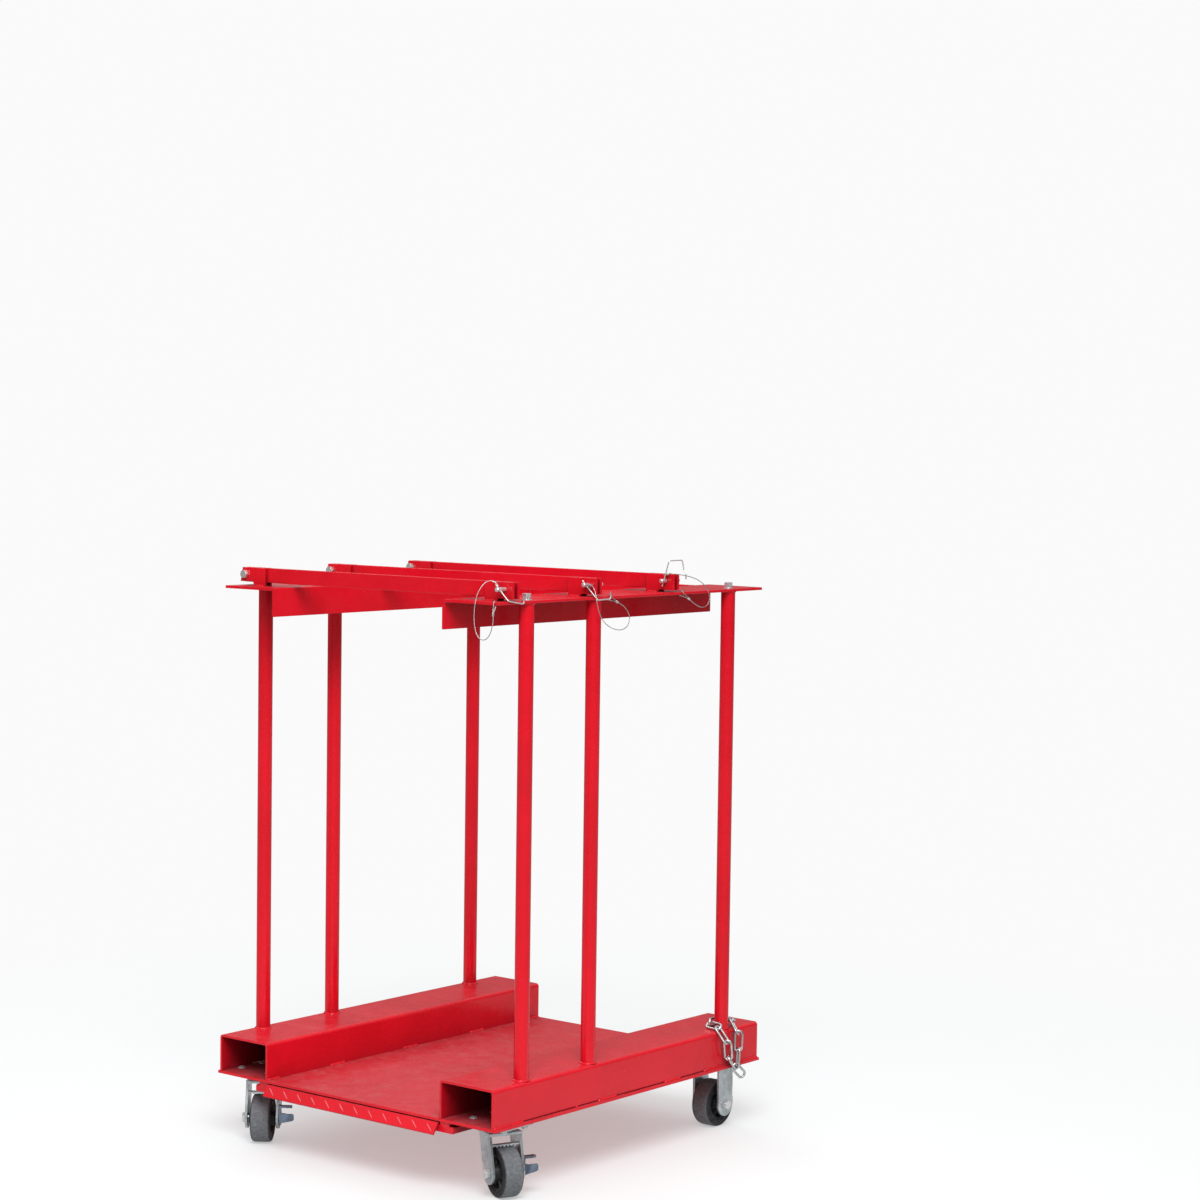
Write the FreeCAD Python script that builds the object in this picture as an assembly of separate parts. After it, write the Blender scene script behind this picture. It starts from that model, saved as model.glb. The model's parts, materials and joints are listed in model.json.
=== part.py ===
import FreeCAD, Part
import math
import os

V = FreeCAD.Vector
os.makedirs("parts", exist_ok=True)

# ------------------------------------------------------------------
# Wheeled storage cart for upright gas cylinders, millimetres.
# X to the right, Y to the rear, Z up, origin on the floor under the
# centre of the deck.  The loading side is the front (-Y).
# ------------------------------------------------------------------

# deck and fork pockets
DECK_HALF_X = 406.75      # deck plate reaches 7 mm past the pockets
HALF_LEN = 457.2          # half of the 36 in pocket length
DECK_Z0, DECK_Z1 = 151.0, 157.0
POCKET_OUT, POCKET_IN = 399.75, 252.75
POCKET_TOP = 238.0
POCKET_SHEET = 5.0
POCKET_BEND = 8.0
# stretches of each pocket's outer foot that are left open between welds
FOOT_GAPS = ((-363.0, -194.0), (-187.0, -119.0), (-56.0, 112.0), (170.0, 254.0))
FOOT_GAP_H = 1.8

# posts and shelves
POST_X = 378.7
POST_Y = (-346.8, -129.1, 347.0)
POST_R, POST_BORE_R = 15.875, 13.875
SHELF_IN, SHELF_OUT = 243.4, 394.7
SHELF_Z0, SHELF_Z1 = 1224.0, 1230.0
SHELF_LIP_Z = 1168.0
SHELF_T = 6.0
SHELF_HALF_LEN = 454.5
REAR_BAR_Y = (397.0, 403.0)

# retaining bars and their ears
BAR_Y = (-398.3, -131.7, 134.9)
BAR_T, BAR_Z0, BAR_Z1 = 9.0, 1237.0, 1269.0
BAR_X0, BAR_X1 = -391.0, 385.0
EAR_T, EAR_GAP = 6.0, 10.0
PIVOT_X, PIVOT_Z, PIVOT_R = -380.0, 1254.0, 5.0
PIN_X, PIN_Z, PIN_R, PIN_LEN = 373.0, 1254.0, 4.75, 63.5
PIN_HOLE = 10.5           # wire hole, from the tip
PIN_TIP = (-37.5, -28.0, -28.0)       # tip, from the middle of its bar
BAIL_DEG = (-43.0, -43.0, 72.0)       # front leg, from +X towards +Z
BAIL_LEG, BAIL_SPAN, BAIL_R = (33.0, 44.0, 47.0), 47.0, 1.4

# ramp below the deck
RAMP_HALF_X = 249.0
RAMP_Z0, RAMP_Z1 = 143.5, 148.5
RAMP_Y0, RAMP_Y1 = -458.0, -46.0
GUIDE_IN, GUIDE_WEB_IN, GUIDE_WEB_OUT, GUIDE_OUT = 236.0, 252.0, 278.0, 289.0
GUIDE_Z0, GUIDE_Z1 = 129.0, 143.0

# casters
CASTER_PLATE = (112.0, 100.0, 5.0)
BOLT_DX, BOLT_DY = 42.0, 32.0
WHEEL_R, WHEEL_W = 52.5, 44.0
LEG_IN, LEG_T = 31.5, 5.5
AXLE_R = 6.0
SWIVEL = {"left": (-343.0, -374.0, 36.3), "right": (343.0, -374.0, 66.7)}
TRAIL = 28.5
CROWN_Z0, CROWN_Z1 = 130.0, 135.0
STRIP_Z = 109.0           # underside of the toothed brake strip
RIGID = {"left": (-326.0, 390.0), "right": (326.0, 390.0)}

# lanyards
CORD_R = 0.9

# safety chain: oval links looped round the right rear post
LINK_WIRE, LINK_LEN, LINK_WIDE = 5.5, 50.0, 22.0
QUICK_LINK = 4            # this place in the loop holds the screw link
# each link's centre, and the quaternion w, x, y, z of its long and wide axes
LINKS = [
    (416.11, 364.79, 143.21, 0.60874, 0.42012, 0.65476, 0.15563),
    (415.72, 361.58, 172.80, -0.28800, 0.63040, 0.37188, 0.61754),
    (414.19, 364.93, 210.47, 0.29129, 0.63649, -0.24152, 0.67208),
    (399.98, 366.78, 242.50, -0.01357, -0.39149, -0.25849, -0.88303),
    (371.23, 373.31, 250.15, 0.13765, 0.06799, -0.02617, -0.98780),
    (359.52, 346.21, 249.69, 0.53946, 0.52248, -0.47659, -0.45701),
    (377.58, 321.14, 246.29, 0.93308, 0.34087, -0.04099, -0.10716),
    (405.18, 315.17, 230.25, -0.03431, 0.89104, 0.06955, -0.44725),
    (417.34, 321.36, 197.19, 0.55669, 0.42379, 0.63030, -0.33648),
    (416.86, 337.51, 165.37, -0.01544, 0.66037, 0.54968, -0.51139),
]


def box(x0, x1, y0, y1, z0, z1):
    return Part.makeBox(x1 - x0, y1 - y0, z1 - z0, V(x0, y0, z0))


def rod(p, d, r, h):
    return Part.makeCylinder(r, h, V(*p), V(*d))


def prism_xz(pts, y0, y1):
    w = Part.makePolygon([V(x, y0, z) for x, z in pts] + [V(pts[0][0], y0, pts[0][1])])
    return Part.Face(w).extrude(V(0, y1 - y0, 0))


def hexa(p, d, af, h, both=False):
    """Hexagon head or nut on point p, growing along d, corners chamfered."""
    rc = af / math.sqrt(3)
    pts = [V(rc * math.cos(math.radians(60 * i)), rc * math.sin(math.radians(60 * i)), 0) for i in range(7)]
    s = Part.Face(Part.makePolygon(pts)).extrude(V(0, 0, h))
    c = Part.makeCylinder(rc, h)
    top = [e for e in c.Edges if e.Closed and abs(e.CenterOfMass.z - h) < 1e-6]
    low = [e for e in c.Edges if e.Closed and abs(e.CenterOfMass.z) < 1e-6]
    c = c.makeChamfer((rc - af / 2) * 0.75, top + (low if both else []))
    s = s.common(c)
    s.Placement = FreeCAD.Placement(V(*p), FreeCAD.Rotation(V(0, 0, 1), V(*d)))
    return s


def ring(p, d, big, small):
    return Part.makeTorus(big, small, V(*p), V(*d))


def rounded(shape, r, keep):
    edges = [e for e in shape.Edges if keep(e)]
    try:
        out = shape.makeFillet(r, edges)
        if out.isValid() and out.Volume > 0:
            return out
    except Exception:
        pass
    return shape


def along(e, axis):
    if len(e.Vertexes) != 2:
        return False
    d = e.Vertexes[1].Point - e.Vertexes[0].Point
    return abs(d.dot(V(*axis))) > 0.999 * d.Length


def save(name, solids):
    solids = [s for s in solids]
    shape = solids[0] if len(solids) == 1 else Part.makeCompound(solids)
    bad = [s for s in shape.Solids if not s.isValid() or s.Volume <= 0]
    if bad or not shape.Solids:
        print("BAD", name, len(bad))
    shape.exportStep("parts/%s.step" % name)
    b = shape.BoundBox
    print("%-22s %2d solids  x %.1f..%.1f  y %.1f..%.1f  z %.1f..%.1f" % (
        name, len(shape.Solids), b.XMin, b.XMax, b.YMin, b.YMax, b.ZMin, b.ZMax))


# ------------------------------------------------------------------ deck
caster_xy = [(SWIVEL[s][0], SWIVEL[s][1]) for s in ("left", "right")] + [RIGID["left"], RIGID["right"]]
bolt_xy = [(x + sx * BOLT_DX, y + sy * BOLT_DY) for x, y in caster_xy for sx in (-1, 1) for sy in (-1, 1)]

# one plate, with the pockets' inner feet marked on it as edges, so that the
# cylinders' standing area is a face of its own
deck = box(-POCKET_IN, POCKET_IN, -HALF_LEN, HALF_LEN, DECK_Z0, DECK_Z1).fuse([
    box(-DECK_HALF_X, -POCKET_IN, -HALF_LEN, HALF_LEN, DECK_Z0, DECK_Z1),
    box(POCKET_IN, DECK_HALF_X, -HALF_LEN, HALF_LEN, DECK_Z0, DECK_Z1)])
deck = rounded(deck, 1.2, lambda e: (abs(e.CenterOfMass.z - DECK_Z1) < 0.01 and (
    abs(e.CenterOfMass.x) > DECK_HALF_X - 0.01 or abs(e.CenterOfMass.y) > HALF_LEN - 0.01)) or (
    along(e, (0, 0, 1)) and abs(e.CenterOfMass.x) > DECK_HALF_X - 0.01))
for x, y in bolt_xy:
    deck = deck.cut(rod((x, y, DECK_Z0 - 1), (0, 0, 1), 4.1, 8))
save("deck_plate", [deck])


def pocket(s):
    x0, x1 = sorted((s * POCKET_IN, s * POCKET_OUT))
    out = box(x0, x1, -HALF_LEN, HALF_LEN, DECK_Z1, POCKET_TOP)
    out = out.makeFillet(POCKET_BEND, [e for e in out.Edges if along(e, (0, 1, 0)) and e.CenterOfMass.z > POCKET_TOP - 1])
    t = POCKET_SHEET
    inn = box(x0 + t, x1 - t, -HALF_LEN - 1, HALF_LEN + 1, DECK_Z1 - 1, POCKET_TOP - t)
    inn = inn.makeFillet(POCKET_BEND - t, [e for e in inn.Edges if along(e, (0, 1, 0)) and e.CenterOfMass.z > POCKET_TOP - t - 1])
    sheet = out.cut(inn)
    a, b = sorted((s * (POCKET_OUT - t - 0.5), s * (POCKET_OUT + 1.0)))
    for y0, y1 in FOOT_GAPS:
        sheet = sheet.cut(box(a, b, y0, y1, DECK_Z1 - 1, DECK_Z1 + FOOT_GAP_H))
    return sheet


save("left_fork_pocket", [pocket(-1)])
save("right_fork_pocket", [pocket(1)])

# ------------------------------------------------------------------ posts
def post(x, y):
    return rod((x, y, POCKET_TOP), (0, 0, 1), POST_R, SHELF_Z0 - POCKET_TOP).cut(
        rod((x, y, POCKET_TOP - 1), (0, 0, 1), POST_BORE_R, SHELF_Z0 - POCKET_TOP + 2))


save("left_posts", [post(-POST_X, y) for y in POST_Y])
save("right_posts", [post(POST_X, y) for y in POST_Y])

# the front and rear posts are plugged and bolted to the shelf, the
# middle ones stand under an ear and are only welded
bolt_posts = [(sx * POST_X, y) for sx in (-1, 1) for y in (POST_Y[0], POST_Y[2])]
save("post_top_plugs", [rod((x, y, SHELF_Z0 - 26), (0, 0, 1), POST_BORE_R - 0.1, 26).cut(
    rod((x, y, SHELF_Z0 - 27), (0, 0, 1), 5.05, 28)) for x, y in bolt_posts])

# ------------------------------------------------------------------ shelves
EYE1 = (387.0, -449.6)                 # lanyard holes in the right shelf
EYE23 = ((388.4, -96.0), (388.4, 153.0))


def shelf(s):
    x0, x1 = SHELF_IN, SHELF_OUT
    flat = box(x0, x1, -SHELF_HALF_LEN, SHELF_HALF_LEN, SHELF_Z0, SHELF_Z1)
    lip = box(x0, x0 + SHELF_T, -SHELF_HALF_LEN, SHELF_HALF_LEN, SHELF_LIP_Z, SHELF_Z1)
    b = flat.fuse(lip).removeSplitter()
    b = rounded(b, 2.5, lambda e: along(e, (0, 1, 0)) and abs(e.CenterOfMass.x - x0) < 0.01 and e.CenterOfMass.z > SHELF_Z1 - 0.1)
    b = rounded(b, 2.5, lambda e: along(e, (0, 1, 0)) and abs(e.CenterOfMass.x - x0 - SHELF_T) < 0.01 and abs(e.CenterOfMass.z - SHELF_Z0) < 0.1)
    b = rounded(b, 1.0, lambda e: (along(e, (0, 1, 0)) and abs(e.CenterOfMass.x - x1) < 0.01) or (along(e, (0, 0, 1)) and abs(e.CenterOfMass.x - x1) < 0.01))
    for y in (POST_Y[0], POST_Y[2]):
        b = b.cut(rod((POST_X, y, SHELF_Z0 - 1), (0, 0, 1), 5.4, 8))
    if s > 0:
        for x, y in (EYE1,) + EYE23:
            b = b.cut(rod((x, y, SHELF_Z0 - 1), (0, 0, 1), 2.6, 8))
    else:
        b = b.mirror(V(0, 0, 0), V(1, 0, 0))
    return b


save("left_top_shelf", [shelf(-1)])
save("right_top_shelf", [shelf(1)])
rb = box(-SHELF_IN, SHELF_IN, REAR_BAR_Y[0], REAR_BAR_Y[1], SHELF_LIP_Z, SHELF_Z1)
save("rear_cross_bar", [rounded(rb, 1.0, lambda e: along(e, (1, 0, 0)))])

bolts, washers = [], []
for x, y in bolt_posts:
    washers.append(rod((x, y, SHELF_Z1), (0, 0, 1), 11.0, 2.5).cut(rod((x, y, SHELF_Z1 - 1), (0, 0, 1), 5.3, 5)))
    lock = rod((x, y, SHELF_Z1 + 2.5), (0, 0, 1), 7.8, 3.2).cut(rod((x, y, SHELF_Z1), (0, 0, 1), 5.3, 9))
    slit = box(0, 10, -0.4, 0.4, SHELF_Z1 + 2, SHELF_Z1 + 7)
    slit.Placement = FreeCAD.Placement(V(x, y, 0), FreeCAD.Rotation(V(0, 0, 1), -40 + 70 * (y > 0)))
    washers.append(lock.cut(slit))
    head = hexa((x, y, SHELF_Z1 + 5.7), (0, 0, 1), 17.0, 8.3)
    bolts.append(head.fuse(rod((x, y, SHELF_Z0 - 22), (0, 0, 1), 5.0, SHELF_Z1 + 5.7 - SHELF_Z0 + 22)).removeSplitter())
save("shelf_bolts", bolts)
save("shelf_washers", washers)

# ------------------------------------------------------------------ ears, bars, pivots
PIV_EAR = [(-394.5, 1238.0), (-388.0, 1269.0), (-318.5, 1269.0), (-318.5, 1230.0), (-352.0, 1230.0), (-356.0, 1238.0)]
LAT_EAR = [(394.5, 1234.5), (394.5, 1269.0), (318.5, 1269.0), (318.5, 1230.0), (352.0, 1230.0), (356.0, 1234.5)]
piv, lat, pbolts, pnuts = [], [], [], []
for yb in BAR_Y:
    for y0 in (yb - EAR_GAP / 2 - EAR_T, yb + EAR_GAP / 2):
        e = prism_xz(PIV_EAR, y0, y0 + EAR_T)
        e = rounded(e, 0.8, lambda q: not along(q, (0, 1, 0)) and q.CenterOfMass.z > 1231)
        piv.append(e.cut(rod((PIVOT_X, y0 - 1, PIVOT_Z), (0, 1, 0), PIVOT_R + 0.05, EAR_T + 2)))
        e = prism_xz(LAT_EAR, y0, y0 + EAR_T)
        e = rounded(e, 0.8, lambda q: not along(q, (0, 1, 0)) and q.CenterOfMass.z > 1231)
        lat.append(e.cut(rod((PIN_X, y0 - 1, PIN_Z), (0, 1, 0), PIN_R + 0.08, EAR_T + 2)))
    f = yb - EAR_GAP / 2 - EAR_T
    r = yb + EAR_GAP / 2 + EAR_T
    pbolts.append(hexa((PIVOT_X, f, PIVOT_Z), (0, -1, 0), 17.0, 6.5).fuse(
        rod((PIVOT_X, f, PIVOT_Z), (0, 1, 0), PIVOT_R, r - f + 11)).removeSplitter())
    pnuts.append(hexa((PIVOT_X, r, PIVOT_Z), (0, 1, 0), 17.0, 9.0, True).cut(
        rod((PIVOT_X, r - 1, PIVOT_Z), (0, 1, 0), PIVOT_R, 12)))
save("pivot_ears", piv)
save("latch_ears", lat)
save("pivot_bolts", pbolts)
save("pivot_nuts", pnuts)

for nm, yb in zip(("front", "middle", "rear"), BAR_Y):
    b = box(BAR_X0, BAR_X1, yb - BAR_T / 2, yb + BAR_T / 2, BAR_Z0, BAR_Z1)
    b = rounded(b, 4.0, lambda e: along(e, (0, 1, 0)))
    b = rounded(b, 1.0, lambda e: along(e, (1, 0, 0)))
    b = b.cut(rod((PIVOT_X, yb - 9, PIVOT_Z), (0, 1, 0), PIVOT_R + 0.08, 18))
    # the latch end drops over the lock pin with an open slot
    w = 5.45
    slot = box(PIN_X - w, PIN_X + w, yb - 9, yb + 9, BAR_Z0 - 5, PIN_Z).fuse(rod((PIN_X, yb - 9, PIN_Z), (0, 1, 0), w, 18))
    save("retaining_bar_" + nm, [b.cut(slot)])

# ------------------------------------------------------------------ lock pins, bails, eyes
def bent(points, r, radius):
    """Round wire along points, with the same bend radius at each corner."""
    pts = [V(*p) for p in points]
    edges, cur = [], pts[0]
    for i in range(1, len(pts) - 1):
        a = (pts[i] - pts[i - 1]).normalize()
        b = (pts[i + 1] - pts[i]).normalize()
        turn = a.getAngle(b)
        rad = radius[i - 1] if isinstance(radius, (list, tuple)) else radius
        t = rad * math.tan(turn / 2)
        p0, p1 = pts[i] - a * t, pts[i] + b * t
        c = pts[i] + (b - a).normalize() * (rad / math.cos(turn / 2))
        mid = c + (pts[i] - c).normalize() * rad
        edges += [Part.LineSegment(cur, p0).toShape(), Part.Arc(p0, mid, p1).toShape()]
        cur = p1
    edges.append(Part.LineSegment(cur, pts[-1]).toShape())
    path = Part.Wire(edges)
    d = (pts[1] - pts[0]).normalize()
    prof = Part.Wire([Part.makeCircle(r, pts[0], d)])
    s = path.makePipeShell([prof], True, False)
    return s, path.Length


def bail_frame(i):
    a = math.radians(BAIL_DEG[i])
    d = V(math.cos(a), 0, math.sin(a))
    n = d.cross(V(0, 1, 0))
    o = V(PIN_X, BAR_Y[i] + PIN_TIP[i] + PIN_HOLE, PIN_Z)
    return o, d, n


for i in range(3):
    o, d, n = bail_frame(i)
    y0 = BAR_Y[i] + PIN_TIP[i]
    p = rod((PIN_X, y0, PIN_Z), (0, 1, 0), PIN_R, PIN_LEN)
    p = p.makeChamfer(1.2, [e for e in p.Edges if e.Closed])
    p = p.cut(Part.makeCylinder(BAIL_R + 0.07, 20, o - d * 10, d))
    save("lock_pin_%d" % (i + 1), [p])
    start = o - d * 11.5
    corner = o + d * BAIL_LEG[i]
    if i < 2:
        back = corner + V(*((0.9, BAIL_SPAN, -7.5), (-3.0, BAIL_SPAN, 0.5))[i])
        pts = [start, corner, back, back + V(-0.4, 0, 15.0)]
        rads = [4.5, 4.5]
    else:
        back = corner + V(0, BAIL_SPAN, 0)
        pts = [start, corner, back, V(392.0, back.y, 1277.5), V(398.2, back.y, 1268.5), V(398.2, back.y, 1257.5)]
        rads = [4.5, 4.5, 6.0, 6.0]
    w, ln = bent(pts, BAIL_R, rads)
    w = w.fuse(Part.makeSphere(2.0, start)).removeSplitter()
    save("pin_bail_%d" % (i + 1), [w])

# ------------------------------------------------------------------ lanyards
# routes of the three steel-rope lanyards, pin end first
ROUTES = {
    1: [(362.2, -425.0, 1268.2), (356.5, -430.0, 1272.5), (350.0, -439.0, 1270.0), (345.6, -451.0, 1260.0), (343.0, -461.0, 1243.0),
        (341.5, -466.0, 1220.0), (341.5, -467.5, 1196.0), (344.0, -467.0, 1175.0), (350.5, -466.0, 1160.0), (361.5, -465.0, 1152.5),
        (374.0, -464.5, 1155.0), (383.5, -464.0, 1167.0), (388.0, -463.0, 1184.0), (388.5, -461.8, 1199.0), (387.6, -460.8, 1209.5)],
    2: [(384.4, -150.8, 1255.4), (390.5, -152.4, 1255.6), (398.5, -155.0, 1250.5), (406.0, -157.5, 1238.0), (409.5, -157.0, 1221.0),
        (409.0, -150.5, 1202.0), (407.5, -138.0, 1184.0), (406.5, -119.0, 1170.0), (406.0, -95.0, 1160.5), (405.5, -70.0, 1157.0),
        (405.0, -48.0, 1163.0), (404.5, -38.5, 1178.0), (404.0, -43.0, 1194.0), (403.3, -56.0, 1206.5), (402.0, -71.0, 1214.0), (400.8, -82.5, 1219.0)],
    3: [(382.0, 117.4, 1268.6), (389.5, 114.4, 1271.3), (398.5, 112.8, 1271.6), (405.4, 119.5, 1270.4), (407.8, 138.0, 1267.8), (408.0, 160.0, 1264.5),
        (406.5, 184.0, 1259.5), (404.5, 207.0, 1252.5), (403.8, 227.0, 1242.0), (404.0, 241.0, 1227.0), (404.3, 244.5, 1210.0),
        (404.3, 236.0, 1197.5), (404.0, 219.0, 1193.5), (403.5, 201.0, 1198.0), (402.3, 184.0, 1207.0), (401.0, 168.0, 1217.0)],
}


def cord(points, r):
    """Tube of straight runs and tangent arcs, each arc as large as its runs allow."""
    pts = [V(*p) for p in points]
    rads = []
    for i in range(1, len(pts) - 1):
        a, b = pts[i] - pts[i - 1], pts[i + 1] - pts[i]
        rads.append(0.45 * min(a.Length, b.Length) / math.tan(a.getAngle(b) / 2))
    s, ln = bent(points, r, rads)
    return s, ln, rads


for k in (1, 2, 3):
    s, ln, rads = cord(ROUTES[k], CORD_R)
    runs = [(V(*b) - V(*a)).Length for a, b in zip(ROUTES[k], ROUTES[k][1:])]
    print("lanyard %d length %.1f  volume ratio %.4f  radii %s  runs %s" % (
        k, ln, s.Volume / (math.pi * CORD_R ** 2 * ln), [round(q, 1) for q in rads], [round(q, 1) for q in runs]))
    save("lanyard_%d" % k, [s])


PIN_EYE_AT = (-9.2, 10.5, 13.5)        # along the bail's front leg
for i in range(3):
    o, d, n = bail_frame(i)
    c = o + d * PIN_EYE_AT[i]
    save("lanyard_pin_eye_%d" % (i + 1), [ring((c.x, c.y, c.z), (d.x, d.y, d.z), 2.7, 0.9)])

eyes = [ring((EYE1[0], -SHELF_HALF_LEN, 1227.0), (1, 0, 0), 5.0, 0.9)]
for x, y in EYE23:
    eyes.append(ring((SHELF_OUT - 0.2, y, 1227.0), (0, 1, 0), 6.1, 0.9))
save("lanyard_shelf_eyes", eyes)

# ------------------------------------------------------------------ ramp
lip_len = 27.0
ang = math.radians(54.0)                # lip slopes down and forward
tx, tz = -math.cos(ang), -math.sin(ang)
t = RAMP_Z1 - RAMP_Z0
# side profile (y, z): flat plate, then the lip
h = math.tan(ang / 2) * t
prof = [(RAMP_Y1, RAMP_Z0), (RAMP_Y1, RAMP_Z1), (RAMP_Y0, RAMP_Z1),
        (RAMP_Y0 + tx * lip_len, RAMP_Z1 + tz * lip_len),
        (RAMP_Y0 + tx * lip_len + t * math.sin(ang), RAMP_Z1 + tz * lip_len - t * math.cos(ang)),
        (RAMP_Y0 + h, RAMP_Z0)]
w = Part.makePolygon([V(-RAMP_HALF_X, y, z) for y, z in prof] + [V(-RAMP_HALF_X, prof[0][0], prof[0][1])])
ramp = Part.Face(w).extrude(V(2 * RAMP_HALF_X, 0, 0))
ramp = rounded(ramp, 2.0, lambda e: along(e, (1, 0, 0)) and abs(e.CenterOfMass.y - RAMP_Y0) < 0.1 and e.CenterOfMass.z > RAMP_Z1 - 0.1)
save("ramp_plate", [ramp])


def guide(s):
    low = box(GUIDE_IN, GUIDE_OUT, -HALF_LEN + 2.5, -20, GUIDE_Z0, GUIDE_Z1)
    low = rounded(low, 2.0, lambda e: along(e, (0, 1, 0)) and e.CenterOfMass.x > GUIDE_OUT - 1)
    web = box(GUIDE_WEB_IN, GUIDE_WEB_OUT, -HALF_LEN + 2.5, -20, GUIDE_Z1, DECK_Z0)
    g = low.fuse(web).removeSplitter()
    return g if s > 0 else g.mirror(V(0, 0, 0), V(1, 0, 0))


save("ramp_guides", [guide(-1), guide(1)])

# ------------------------------------------------------------------ casters
def caster_plate(x, y, hole):
    dx, dy, dz = CASTER_PLATE
    p = box(x - dx / 2, x + dx / 2, y - dy / 2, y + dy / 2, DECK_Z0 - dz, DECK_Z0)
    p = rounded(p, 9.0, lambda e: along(e, (0, 0, 1)))
    for sx in (-1, 1):
        for sy in (-1, 1):
            p = p.cut(rod((x + sx * BOLT_DX, y + sy * BOLT_DY, DECK_Z0 - dz - 1), (0, 0, 1), 4.1, dz + 2))
    if hole:
        p = p.cut(rod((x, y, DECK_Z0 - dz - 1), (0, 0, 1), hole, dz + 2))
    return p


cb, cn = [], []
for x, y in bolt_xy:
    dome = Part.makeSphere(12.0, V(x, y, DECK_Z1 + 4.4 - 12.0)).common(rod((x, y, DECK_Z1), (0, 0, 1), 20, 10))
    cb.append(dome.fuse(rod((x, y, 136.5), (0, 0, 1), 4.0, DECK_Z1 - 136.5 + 0.5)).removeSplitter())
    cn.append(hexa((x, y, 139.5), (0, 0, 1), 13.0, 6.5, True).cut(rod((x, y, 138), (0, 0, 1), 4.0, 10)))
save("caster_bolts", cb)
save("caster_nuts", cn)

save("swivel_plates", [caster_plate(SWIVEL[s][0], SWIVEL[s][1], 8.05) for s in ("left", "right")])
races, kings = [], []
for s in ("left", "right"):
    x, y, az = SWIVEL[s]
    r = rod((x, y, 140.4), (0, 0, 1), 36.0, 5.6)
    r = r.makeChamfer(2.4, [e for e in r.Edges if e.Closed and e.CenterOfMass.z < 140.5])
    races.append(r.cut(rod((x, y, 139), (0, 0, 1), 8.05, 12)))
    # riveted kingpin: its flat head is just under the fork's crown
    k = rod((x, y, CROWN_Z0 - 3.8), (0, 0, 1), 11.5, 3.4)
    k = k.makeFillet(1.4, [e for e in k.Edges if e.Closed and e.CenterOfMass.z < CROWN_Z0 - 3.7])
    kings.append(k.fuse(rod((x, y, CROWN_Z0 - 2.0), (0, 0, 1), 8.0, DECK_Z0 - CROWN_Z0 + 2.0)).removeSplitter())
save("swivel_races", races)
save("kingpins", kings)


def at_caster(shape, x, y, az):
    """Local +X is the axle, local -Y is the trail direction."""
    shape.Placement = FreeCAD.Placement(V(x, y, 0), FreeCAD.Rotation(V(0, 0, 1), az))
    return shape


def leg_plate(x0, x1, pts, cx, cz, r):
    """Plate in the local YZ plane with a round lower end."""
    w = Part.makePolygon([V(x0, p, q) for p, q in pts] + [V(x0, pts[0][0], pts[0][1])])
    s = Part.Face(w).extrude(V(x1 - x0, 0, 0))
    s = s.fuse(Part.makeCylinder(r, x1 - x0, V(x0, cx, cz), V(1, 0, 0))).removeSplitter()
    return s


def tangent_leg(y_front, y_back, z_top, cy, cz, r):
    """Polygon from the top edge to points of tangency on the end circle."""
    out = []
    for y, sgn in ((y_back, 1), (y_front, -1)):
        d = math.hypot(y - cy, z_top - cz)
        a = math.atan2(z_top - cz, y - cy)
        b = math.acos(r / d)
        t = a - b if sgn > 0 else a + b
        out.append(((y, z_top), (cy + r * math.cos(t), cz + r * math.sin(t))))
    return [out[0][0], out[0][1], out[1][1], out[1][0]]


def swivel_fork(x, y, az):
    parts = []
    crown = Part.makeCylinder(40.0, CROWN_Z1 - CROWN_Z0, V(0, 0, CROWN_Z0), V(0, 0, 1))
    crown = crown.fuse(box(-LEG_IN - LEG_T, LEG_IN + LEG_T, -36, 24, CROWN_Z0, CROWN_Z1))
    crown = crown.common(box(-LEG_IN - LEG_T, LEG_IN + LEG_T, -60, 60, 0, 200))
    cup = Part.makeCylinder(36.5, 140.0 - CROWN_Z1, V(0, 0, CROWN_Z1), V(0, 0, 1))
    cup = cup.makeFillet(3.5, [e for e in cup.Edges if e.Closed and e.CenterOfMass.z > 139.9])
    pts = tangent_leg(-31.0, 17.0, CROWN_Z1, -TRAIL, WHEEL_R, 23.0)
    body = crown.fuse(cup)
    for x0, x1 in ((-LEG_IN - LEG_T, -LEG_IN), (LEG_IN, LEG_IN + LEG_T)):
        body = body.fuse(leg_plate(x0, x1, pts, -TRAIL, WHEEL_R, 23.0))
    body = body.removeSplitter()
    body = body.cut(rod((0, 0, 100), (0, 0, 1), 8.07, 60))
    body = body.cut(Part.makeCylinder(AXLE_R + 0.04, 120, V(-60, -TRAIL, WHEEL_R), V(1, 0, 0)))
    return at_caster(body, x, y, az)


def axle_parts(y0, lever):
    o = LEG_IN + LEG_T
    nut_at = o + (4.0 if lever else 0.2)
    b = hexa((-o, y0, WHEEL_R), (-1, 0, 0), 19.0, 8.0).fuse(
        Part.makeCylinder(AXLE_R, o + nut_at + 11.0, V(-o, y0, WHEEL_R), V(1, 0, 0))).removeSplitter()
    n = hexa((nut_at, y0, WHEEL_R), (1, 0, 0), 19.0, 9.0, True).cut(
        Part.makeCylinder(AXLE_R, 20, V(nut_at - 2, y0, WHEEL_R), V(1, 0, 0)))
    s = Part.makeCylinder(8.5, 2 * LEG_IN, V(-LEG_IN, y0, WHEEL_R), V(1, 0, 0)).cut(
        Part.makeCylinder(AXLE_R + 0.02, 2 * LEG_IN + 2, V(-LEG_IN - 1, y0, WHEEL_R), V(1, 0, 0)))
    return b, n, s


def revolve_x(pts, y0):
    w = Part.makePolygon([V(p, y0, WHEEL_R + q) for p, q in pts] + [V(pts[0][0], y0, WHEEL_R + pts[0][1])])
    return Part.Face(w).revolve(V(0, y0, WHEEL_R), V(1, 0, 0), 360)


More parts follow.
